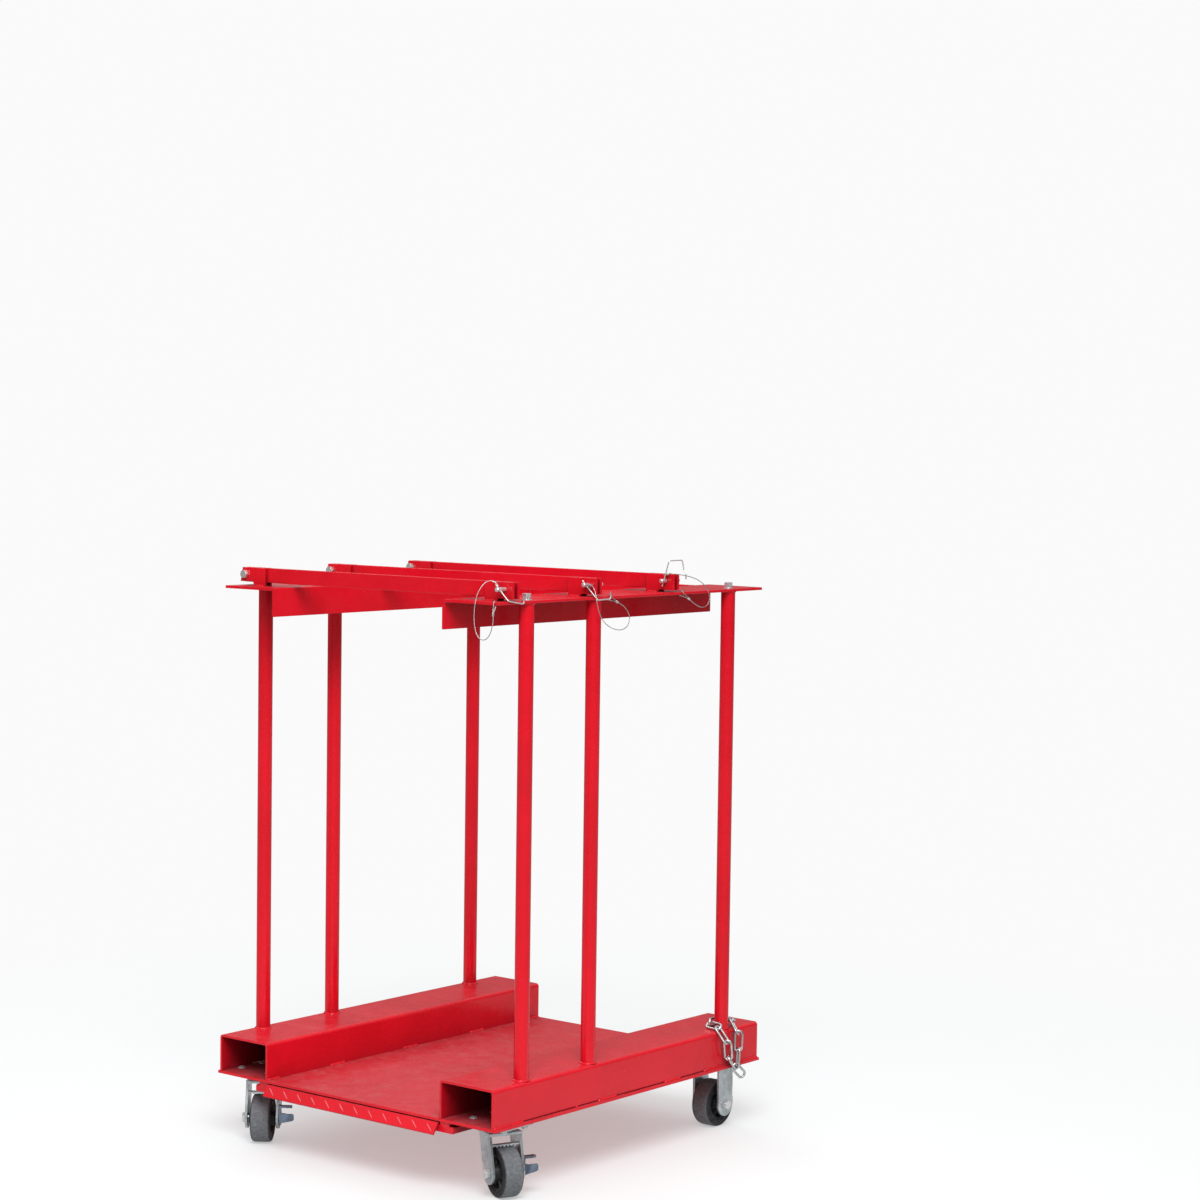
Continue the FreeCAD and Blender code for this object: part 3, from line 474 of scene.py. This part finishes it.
def bead(mesh, line, arms, size, pitch=4.2, bulge=0.30, closed=False, seed=0, fat_ends=0.0):
    """A rippled fillet weld in the corner along a line. arms gives, for each point, the two directions in which the
    faces leave the corner. size and pitch are in mm. The ends are round, and thicker by fat_ends."""
    size, pitch = size * 0.001, pitch * 0.001
    shake, shake2 = wobble(seed), wobble(seed + 77)
    far = [0.0]
    for a, b in zip(line, line[1:]):
        far.append(far[-1] + (b - a).length)
    total = far[-1]
    rings = []
    for i, (p, s) in enumerate(zip(line, far)):
        a, b = arms[i] if isinstance(arms, list) else arms
        n = (a + b).normalized()
        near = min(s, total - s)
        cap = 1.0
        if not closed:
            reach = 1.1 * size
            cap = math.sqrt(max(0.0, 1 - (1 - min(1.0, near / reach)) ** 2))
            cap = max(cap, 0.12)
            cap *= 1 + fat_ends * math.exp(-((near - reach) / (1.6 * size)) ** 2)
        w = size * (1 + 0.10 * shake(s)) * cap
        ring = [p - n * 0.0004]
        for k in range(8):
            f = k / 7
            crown = 4 * f * (1 - f)
            wave = abs(math.sin(math.pi * (s / pitch - 0.42 * crown)))
            h = bulge * (0.62 + 0.38 * wave ** 0.7) * crown
            lean = f + 0.05 * shake2(s) * crown
            ring.append(p + (a * (1 - lean) + b * lean) * w + n * (h * w) - n * 0.0002)
        rings.append(ring)
    mesh.tube(rings, closed=closed)


def straight(p, q, step=0.0011):
    n = max(4, round((q - p).length / step))
    return [p.lerp(q, i / n) for i in range(n + 1)]


def ring_line(centre, radius, step=0.0011, start=0.0, turn=2 * math.pi):
    n = max(12, round(radius * turn / step))
    closed = turn > 6.28
    angles = [start + turn * i / n for i in range(n if closed else n + 1)]
    line = [centre + (X * math.cos(w) + Y * math.sin(w)) * radius for w in angles]
    outs = [X * math.cos(w) + Y * math.sin(w) for w in angles]
    return line, outs


welds = Mesh()
for sx in (-1, 1):
    # outer feet of the fork pockets on the deck, between the open stretches
    out = X * sx
    runs = [(-456.6, -363), (-194, -187), (-119, -56), (112, 170), (254, 456.6)]
    for k, (y0, y1) in enumerate(runs):
        size = 3.6 if y1 - y0 > 10 else 3.0
        bead(welds, straight(mm(sx * 399.75, y0, 157), mm(sx * 399.75, y1, 157)), (out, Z), size,
             seed=11 * k + sx, fat_ends=0.22, pitch=4.6)
    # inner feet: stitches
    for k, (y0, y1) in enumerate([(-456.6, -418), (-262, -214), (-24, 26), (206, 256), (412, 456.6)]):
        bead(welds, straight(mm(sx * 252.75, y0, 157), mm(sx * 252.75, y1, 157)), (-out, Z), 3.8,
             seed=90 + 7 * k + sx, fat_ends=0.15, pitch=4.4)
    # post feet and post tops, all round
    for k, y in enumerate((-346.8, -129.1, 347.0)):
        line, outs = ring_line(mm(sx * 378.7, y, 238), 0.015875, start=0.4 * k)
        bead(welds, line, [(o, Z) for o in outs], 3.4, closed=True, seed=200 + k + 10 * sx, pitch=4.0)
        line, outs = ring_line(mm(sx * 378.7, y, 1224), 0.015875, start=0.9 * k)
        bead(welds, line, [(o, -Z) for o in outs], 2.6, closed=True, seed=230 + k + 10 * sx, pitch=3.6)
    # rear cross bar on the shelves' inner lips
    for k, (y, d) in enumerate(((397.0, -Y), (403.0, Y))):
        bead(welds, straight(mm(sx * 243.4, y, 1172), mm(sx * 243.4, y, 1226)), (d, -out), 2.8,
             seed=260 + k + 10 * sx, pitch=3.8)
    # ramp guides under the deck
    for k, y0 in enumerate((-430, -270, -110)):
        bead(welds, straight(mm(sx * 278, y0, 151), mm(sx * 278, y0 + 40, 151)), (out, -Z), 3.2,
             seed=280 + k + 10 * sx)
welds.make("weld_beads", paint, "frame", 60)

ear_welds = Mesh()
for k, y in enumerate((-398.3, -131.7, 134.9)):
    for sx in (-1, 1):
        for sy in (-1, 1):
            # outer face of each ear on its shelf
            bead(ear_welds, straight(mm(sx * 322, y + sy * 11, 1230), mm(sx * 349, y + sy * 11, 1230)), (Y * sy, Z), 2.4,
                 pitch=3.4, seed=300 + 13 * k + 3 * sx + sy)
ear_welds.make("ear_weld_beads", paint, "frame", 60)


# ------------------------------------------------------------------ tread bars of the ramp


def lens(mesh, centre, along, normal, length, width, height):
    """One raised bar of tread plate: pointed at both ends, crowned, sunk a little into the plate."""
    across = normal.cross(along).normalized()
    nu, nv = 12, 6
    top = []
    for i in range(nu + 1):
        u = -1 + 2 * i / nu
        half = 0.5 * width * max(0.04, (1 - u * u)) ** 0.62
        for j in range(nv + 1):
            v = -1 + 2 * j / nv
            h = height * max(0.0, 1 - u ** 4) ** 0.6 * (1 - v * v) ** 0.55 - 0.00025
            top.append(centre + along * (0.5 * length * u) + across * (half * v) + normal * h)
    k = nv + 1
    faces = [(i * k + j, i * k + j + 1, (i + 1) * k + j + 1, (i + 1) * k + j) for i in range(nu) for j in range(nv)]
    rim = [j for j in range(k)] + [i * k + nv for i in range(1, nu + 1)]
    rim += [nu * k + j for j in range(nv - 1, -1, -1)] + [i * k for i in range(nu - 1, 0, -1)]
    n = len(top)
    low = [top[i] - normal * 0.0003 for i in rim]
    m = len(rim)
    for a in range(m):
        b = (a + 1) % m
        faces.append((rim[b], rim[a], n + a, n + b))
    faces.append(tuple(n + a for a in range(m)))
    mesh.add(top + low, faces)
    for i in range(nu + 1):
        u = -1 + 2 * i / nu
        for j in range(nv + 1):
            v = -1 + 2 * j / nv
            mesh.crest.append(max(0.0, 1 - 0.9 * v * v - 0.5 * u ** 4))
    mesh.crest.extend([0.0] * m)


tread = Mesh()
tread.crest = []
slope = math.radians(54)
down = Vector((0, -math.cos(slope), -math.sin(slope)))
lip_n = Vector((0, -math.sin(slope), math.cos(slope)))
for k in range(12):
    w = math.radians(36.5)
    along = X * math.cos(w) + down * math.sin(w)
    centre = mm(-230 + 42.0 * k, -458, 148.5) + down * 0.0136
    lens(tread, centre, along, lip_n, 0.0290, 0.0030, 0.0012)
for j in range(19):
    for k in range(12 if j % 2 == 0 else 11):
        w = math.radians(45 if j % 2 == 0 else -45)
        along = X * math.cos(w) + Y * math.sin(w)
        centre = mm(-230 + 42.0 * k + (0 if j % 2 == 0 else 21.0), -440 + 20.6 * j, 148.5)
        lens(tread, centre, along, Z, 0.0250, 0.0038, 0.0012)
tread.make("ramp_tread_bars", paint_bars, "ramp", 50, {"crest": tread.crest})


# ------------------------------------------------------------------ wheels

TYRE_HALF = [
    (22.0, 37.0), (22.0, 40.2), (21.5, 40.6), (21.5, 41.6), (22.0, 42.0), (22.0, 45.2), (21.85, 46.8), (21.3, 48.6),
    (20.3, 50.2), (18.9, 51.4), (17.2, 52.1), (15.0, 52.4), (11.0, 52.5), (4.0, 52.5),
]
TYRE = [(-a, r) for a, r in TYRE_HALF] + [(a, r) for a, r in reversed(TYRE_HALF)]
HUB_OUT = [
    (20.0, 36.95), (20.6, 36.4), (20.6, 34.0), (19.6, 32.4), (15.0, 30.6), (9.0, 29.0), (7.4, 27.6), (7.0, 25.6),
    (7.0, 20.0), (7.6, 18.2), (9.4, 17.4), (27.2, 15.8), (28.5, 15.2), (29.0, 14.2), (29.0, 8.6),
]
HUB = [(-a, r) for a, r in HUB_OUT] + [(a, r) for a, r in reversed(HUB_OUT)]


def wheel(name, centre, axis, body):
    axis = Vector(axis).normalized()
    m = Mesh()
    m.lathe(TYRE, centre, axis, 120)
    t = finish_mesh(f"{name}_tyre_tread", m.verts, m.faces, tyre, 50)
    layer = t.data.attributes.new("tread", "FLOAT", "POINT")
    values = []
    for v in t.data.vertices:
        d = v.co - centre
        a = d.dot(axis)
        r = (d - axis * a).length * 1000
        values.append(max(0.0, min(1.0, (r - 49.6) / 2.2)))
    layer.data.foreach_set("value", values)
    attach(t, body)

    h = Mesh()
    h.lathe(HUB, centre, axis, 96)
    u = Z.copy()
    v = axis.cross(u)
    for side in (-1, 1):
        for k in range(8):
            # a rib from the boss to the rim, wider at the rim
            w = 2 * math.pi * (k + 0.5) / 8
            d = u * math.cos(w) + v * math.sin(w)
            q = axis.cross(d)
            rows = []
            for r, top, half in ((16.6, 17.5, 1.7), (20.0, 16.6, 1.5), (25.0, 15.8, 1.5), (30.0, 16.4, 1.8), (33.0, 17.8, 2.6)):
                c = centre + d * (r * 0.001)
                ring = []
                for s, a in ((-1.25, 5.5), (-1.0, top - 1.2), (-0.6, top), (0.6, top), (1.0, top - 1.2), (1.25, 5.5)):
                    ring.append(c + q * (s * half * 0.001) + axis * (side * a * 0.001))
                rows.append(ring)
            h.tube(rows)
    ob = h.make(f"{name}_wheel_core", hub, body, 40)
    return t, ob


joints = {j["name"]: j for j in frame["joints"]}
for name in ("front_left", "front_right", "rear_left", "rear_right"):
    end, side = name.split("_")
    j = joints[f"{end}_wheel_{side}_roll"]
    t, core = wheel(name, Vector(j["pos_m"]), j["axis"], j["child"])
    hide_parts(f"{end}_tyre_{side}")
    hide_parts(f"{end}_hub_{side}")


# ------------------------------------------------------------------ wire-rope lanyards

ROPE = 0.0018
ROUTES = {
    1: [
        (0.3622, -0.4250, 1.2682), (0.3565, -0.4300, 1.2725), (0.3500, -0.4390, 1.2700), (0.3456, -0.4510, 1.2600),
        (0.3430, -0.4610, 1.2430), (0.3415, -0.4660, 1.2200), (0.3415, -0.4675, 1.1960), (0.3440, -0.4670, 1.1750),
        (0.3505, -0.4660, 1.1600), (0.3615, -0.4650, 1.1525), (0.3740, -0.4645, 1.1550), (0.3835, -0.4640, 1.1670),
        (0.3880, -0.4630, 1.1840), (0.3885, -0.4618, 1.1990), (0.3876, -0.4608, 1.2095),
    ],
    2: [
        (0.3844, -0.1508, 1.2554), (0.3905, -0.1524, 1.2556), (0.3985, -0.1550, 1.2505), (0.4060, -0.1575, 1.2380),
        (0.4095, -0.1570, 1.2210), (0.4090, -0.1505, 1.2020), (0.4075, -0.1380, 1.1840), (0.4065, -0.1190, 1.1700),
        (0.4060, -0.0950, 1.1605), (0.4055, -0.0700, 1.1570), (0.4050, -0.0480, 1.1630), (0.4045, -0.0385, 1.1780),
        (0.4040, -0.0430, 1.1940), (0.4033, -0.0560, 1.2065), (0.4020, -0.0710, 1.2140), (0.4008, -0.0825, 1.2190),
    ],
    3: [
        (0.3820, 0.1174, 1.2686), (0.3895, 0.1144, 1.2713), (0.3985, 0.1128, 1.2716), (0.4054, 0.1195, 1.2704),
        (0.4078, 0.1380, 1.2678), (0.4080, 0.1600, 1.2645), (0.4065, 0.1840, 1.2595), (0.4045, 0.2070, 1.2525),
        (0.4038, 0.2270, 1.2420), (0.4040, 0.2410, 1.2270), (0.4043, 0.2445, 1.2100), (0.4043, 0.2360, 1.1975),
        (0.4040, 0.2190, 1.1935), (0.4035, 0.2010, 1.1980), (0.4023, 0.1840, 1.2070), (0.4010, 0.1680, 1.2170),
    ],
}


def route_line(points):
    cu = bpy.data.curves.new("route", "CURVE")
    cu.dimensions = "3D"
    sp = cu.splines.new("NURBS")
    sp.points.add(len(points) - 1)
    for p, c in zip(sp.points, points):
        p.co = (*c, 1.0)
    sp.order_u = 3
    sp.use_endpoint_u = True
    sp.resolution_u = 24
    ob = bpy.data.objects.new("route", cu)
    scene.collection.objects.link(ob)
    bpy.context.view_layer.update()
    me = bpy.data.meshes.new_from_object(ob)
    line = [v.co.copy() for v in me.vertices]
    bpy.data.objects.remove(ob)
    bpy.data.curves.remove(cu)
    bpy.data.meshes.remove(me)
    return line


def laid_rope(mesh, line, radius, lay, strands=6, sides=7, step=0.00085):
    """Strands laid round a core along a line."""
    thick = radius * 0.365
    orbit = radius - thick
    points, total = even(line, step)
    rows = sweep_frames(points)
    for k in range(strands + 1):
        rings = []
        for i, (p, t, a, b) in enumerate(rows):
            s = total * i / (len(points) - 1)
            if k == strands:
                c, r, u, v = p, radius * 0.34, a, b
            else:
                w = 2 * math.pi * (s / lay + k / strands)
                d = a * math.cos(w) + b * math.sin(w)
                c, r, u, v = p + d * orbit, thick, d, t.cross(d)
            rings.append([c + (u * math.cos(q) + v * math.sin(q)) * r for q in (2 * math.pi * j / sides for j in range(sides))])
        mesh.tube(rings)


def sleeve(mesh, start, direction, length, radius, flat_dir):
    """A crimped sleeve: oval, with two pressed waists and rounded ends."""
    t = direction.normalized()
    a = (flat_dir - t * flat_dir.dot(t)).normalized()
    b = t.cross(a)
    rings = []
    n = 26
    for i in range(n + 1):
        f = i / n
        end = min(1.0, math.sqrt(max(0.0, 1 - (1 - min(1.0, min(f, 1 - f) / 0.09)) ** 2)))
        waist = 1 - 0.13 * (math.exp(-((f - 0.31) / 0.085) ** 2) + math.exp(-((f - 0.69) / 0.085) ** 2))
        wide = radius * (1.45 * (0.62 + 0.38 * end)) * (1 + 0.5 * (1 - waist))
        thin = radius * (0.62 + 0.38 * end) * waist
        c = start + t * (length * f)
        rings.append([c + a * (wide * math.cos(q)) + b * (thin * math.sin(q)) for q in (2 * math.pi * j / 20 for j in range(20))])
    mesh.tube(rings)


def thimble(end, centre, axis, radius, gap=0.0010):
    """The line of an eye: out of the crimp at end, round centre, and back beside itself."""
    axis = axis.normalized()
    away = centre - end
    away = (away - axis * away.dot(axis)).normalized()
    side = axis.cross(away)
    knots = [end + side * gap - (centre - end).normalized() * 0.0015, end + side * gap]
    knots += [centre + (away * math.cos(w) + side * math.sin(w)) * radius for w in (math.radians(112 - 16 * k) for k in range(15))]
    knots += [end - side * gap, end - side * gap - (centre - end).normalized() * 0.0015]
    out = []
    for i in range(len(knots) - 1):
        a, b = knots[max(0, i - 1)], knots[i]
        c, d = knots[i + 1], knots[min(len(knots) - 1, i + 2)]
        for k in range(6):
            f = k / 6
            out.append(0.5 * (2 * b + (c - a) * f + (2 * a - 5 * b + 4 * c - d) * f * f + (3 * b - a - 3 * c + d) * f ** 3))
    return out + [knots[-1]], side


PIN_EYE = {
    1: (mm(373, -425.3, 1254), Vector((0.73135, 0, -0.68200)), -9.2),
    2: (mm(373, -149.2, 1254), Vector((0.73135, 0, -0.68200)), 10.5),
    3: (mm(373, 117.4, 1254), Vector((0.30902, 0, 0.95106)), 13.5),
}
SHELF_EYE = {
    1: (mm(387, -454.5, 1227), X, 5.0),
    2: (mm(394.5, -96, 1227), Y, 6.1),
    3: (mm(394.5, 153, 1227), Y, 6.1),
}
shelf_eyes = Mesh()
for i in (1, 2, 3):
    line = route_line([Vector(p) for p in ROUTES[i]])
    m = Mesh()
    laid_rope(m, line, ROPE / 2, 0.0105)
    rope = m.make(f"lanyard_rope_{i}", rope_steel, None, 60)
    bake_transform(rope)
    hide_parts(f"lanyard_{i}")
    # eye round the bail's wire, and its crimp
    o, d, along = PIN_EYE[i]
    e = Mesh()
    # lanyard 1 leaves past the ball on its wire's end, so its eye is a little wider
    loop, side = thimble(line[0], o + d * (along * 0.001), d, 0.0034 if i == 1 else 0.0027)
    laid_rope(e, loop, ROPE / 2, 0.0085)
    eye = e.make(f"lanyard_{i}_pin_loop", rope_steel, f"pin_{i}", 60)
    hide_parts(f"lanyard_pin_eye_{i}")
    c = Mesh()
    start = line[0]
    t = (line[min(len(line) - 1, 24)] - line[0]).normalized()
    sleeve(c, start - t * 0.0008, t, 0.0076, 0.0019, side)
    pin_crimp = c.make(f"lanyard_{i}_pin_crimp", crimp, f"pin_{i}", 40)
    c = Mesh()
    t = (line[-25] - line[-1]).normalized()
    centre, axis, radius = SHELF_EYE[i]
    loop, side = thimble(line[-1], centre, axis, radius * 0.001)
    laid_rope(shelf_eyes, loop, ROPE / 2, 0.0095)
    sleeve(c, line[-1] - t * 0.0010, t, 0.0086, 0.0019, side)
    shelf_crimp = c.make(f"lanyard_{i}_shelf_crimp", crimp, "frame", 40)
eyes = shelf_eyes.make("lanyard_shelf_loops", rope_steel, "frame", 60)
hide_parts("lanyard_shelf_eyes")


# ------------------------------------------------------------------ studio


def soft_light(name, place, target, size, power, color=(1, 1, 1)):
    data = bpy.data.lights.new(name, "AREA")
    data.shape = "DISK"
    data.size = size
    data.energy = power
    data.color = color
    ob = bpy.data.objects.new(name, data)
    ob.location = place
    ob.rotation_euler = (Vector(target) - Vector(place)).to_track_quat("-Z", "Y").to_euler()
    scene.collection.objects.link(ob)
    ob.visible_camera = False
    return ob


world = bpy.data.worlds.new("studio")
world.use_nodes = True
wt = world.node_tree
wt.nodes.clear()
wout = wt.nodes.new("ShaderNodeOutputWorld")
dome = wt.nodes.new("ShaderNodeBackground")
backdrop = wt.nodes.new("ShaderNodeBackground")
choose = wt.nodes.new("ShaderNodeMixShader")
path = wt.nodes.new("ShaderNodeLightPath")
direction = wt.nodes.new("ShaderNodeTexCoord")
height = wt.nodes.new("ShaderNodeSeparateXYZ")
wt.links.new(direction.outputs["Generated"], height.inputs[0])
# soft light tent: bright overhead, darker round the sides, with one wide pale panel to the front right
panel = wt.nodes.new("ShaderNodeVectorMath")
panel.operation = "DOT_PRODUCT"
wt.links.new(direction.outputs["Generated"], panel.inputs[0])
panel.inputs[1].default_value = Vector((3.5, -3.8, 5.5)).normalized()
tent = remap(wt, height.outputs["Z"], 0.0, 0.95, 0.12, 0.80)
put(wt, dome.inputs["Strength"], calc(wt, "ADD", tent, remap(wt, panel.outputs["Value"], 0.74, 0.96, 0.0, 3.0)))
dome.inputs["Color"].default_value = (0.98, 0.99, 1.0, 1.0)
backdrop.inputs["Color"].default_value = (1.0, 1.0, 1.0, 1.0)
backdrop.inputs["Strength"].default_value = 0.96
wt.links.new(path.outputs["Is Camera Ray"], choose.inputs[0])
wt.links.new(dome.outputs[0], choose.inputs[1])
wt.links.new(backdrop.outputs[0], choose.inputs[2])
wt.links.new(choose.outputs[0], wout.inputs["Surface"])
scene.world = world

key = soft_light("key", (3.2, -3.5, 5.2), (0, 0, 0.7), 3.4, 335)
fill = soft_light("fill", (-1.5, -5.0, 2.2), (0, 0, 0.6), 2.4, 4)
back = soft_light("back", (-4.4, 2.2, 4.0), (0, 0, 0.6), 3.0, 46)

floor_mesh = Mesh()
floor_mesh.lathe([(-20, 0.5), (-20, 12000), (-0.01, 12000), (-0.01, 0.5)], Vector((0, 0, 0)), Z, 128)
floor = finish_mesh("floor", floor_mesh.verts, floor_mesh.faces, paint, 30)
fmat, ft, fb = material("pale_floor")
fat = where(ft)
length = ft.nodes.new("ShaderNodeVectorMath")
length.operation = "LENGTH"
ft.links.new(fat, length.inputs[0])
fb.inputs["Base Color"].default_value = (0.87, 0.90, 0.90, 1)
put(ft, fb.inputs["Roughness"], remap(ft, noise(ft, fat, 3, 4, 0.6), 0.3, 0.7, 0.60, 0.75))
fb.inputs["Specular IOR Level"].default_value = 0.2
# far from the cart the floor takes on the backdrop's own brightness, so no edge shows
glow = ft.nodes.new("ShaderNodeEmission")
# seen directly it is as pale as the backdrop, but it throws less of that light back up at the cart
seen = ft.nodes.new("ShaderNodeLightPath")
put(ft, glow.inputs["Strength"], remap(ft, seen.outputs["Is Camera Ray"], 0.0, 1.0, 0.48, 0.96))
blend = ft.nodes.new("ShaderNodeMixShader")
put(ft, blend.inputs[0], remap(ft, length.outputs["Value"], 0.5, 2.8, 0.42, 1.0))
ft.links.new(fb.outputs["BSDF"], blend.inputs[1])
ft.links.new(glow.outputs[0], blend.inputs[2])
ft.links.new(blend.outputs[0], ft.nodes["Material Output"].inputs["Surface"])
floor.data.materials.clear()
floor.data.materials.append(fmat)

# ------------------------------------------------------------------ camera

yaw, pitch, roll = (math.radians(a) for a in (38.905, 3.384, 0.777))
fwd = Vector((-math.sin(yaw) * math.cos(pitch), math.cos(yaw) * math.cos(pitch), -math.sin(pitch)))
flat = Vector((math.cos(yaw), math.sin(yaw), 0))
high = flat.cross(fwd)
right = flat * math.cos(roll) + high * math.sin(roll)
up = high * math.cos(roll) - flat * math.sin(roll)
cam = bpy.data.cameras.new("camera")
cam.lens = 84.30
cam.sensor_width = 36.0
cam.clip_end = 100.0
cam_ob = bpy.data.objects.new("camera", cam)
turn = Matrix((right, up, -fwd)).transposed()
cam_ob.matrix_world = Matrix.Translation((4.0935, -4.7117, 1.5713)) @ turn.to_4x4()
scene.collection.objects.link(cam_ob)
scene.camera = cam_ob
scene.view_settings.view_transform = "Standard"

bpy.context.view_layer.update()
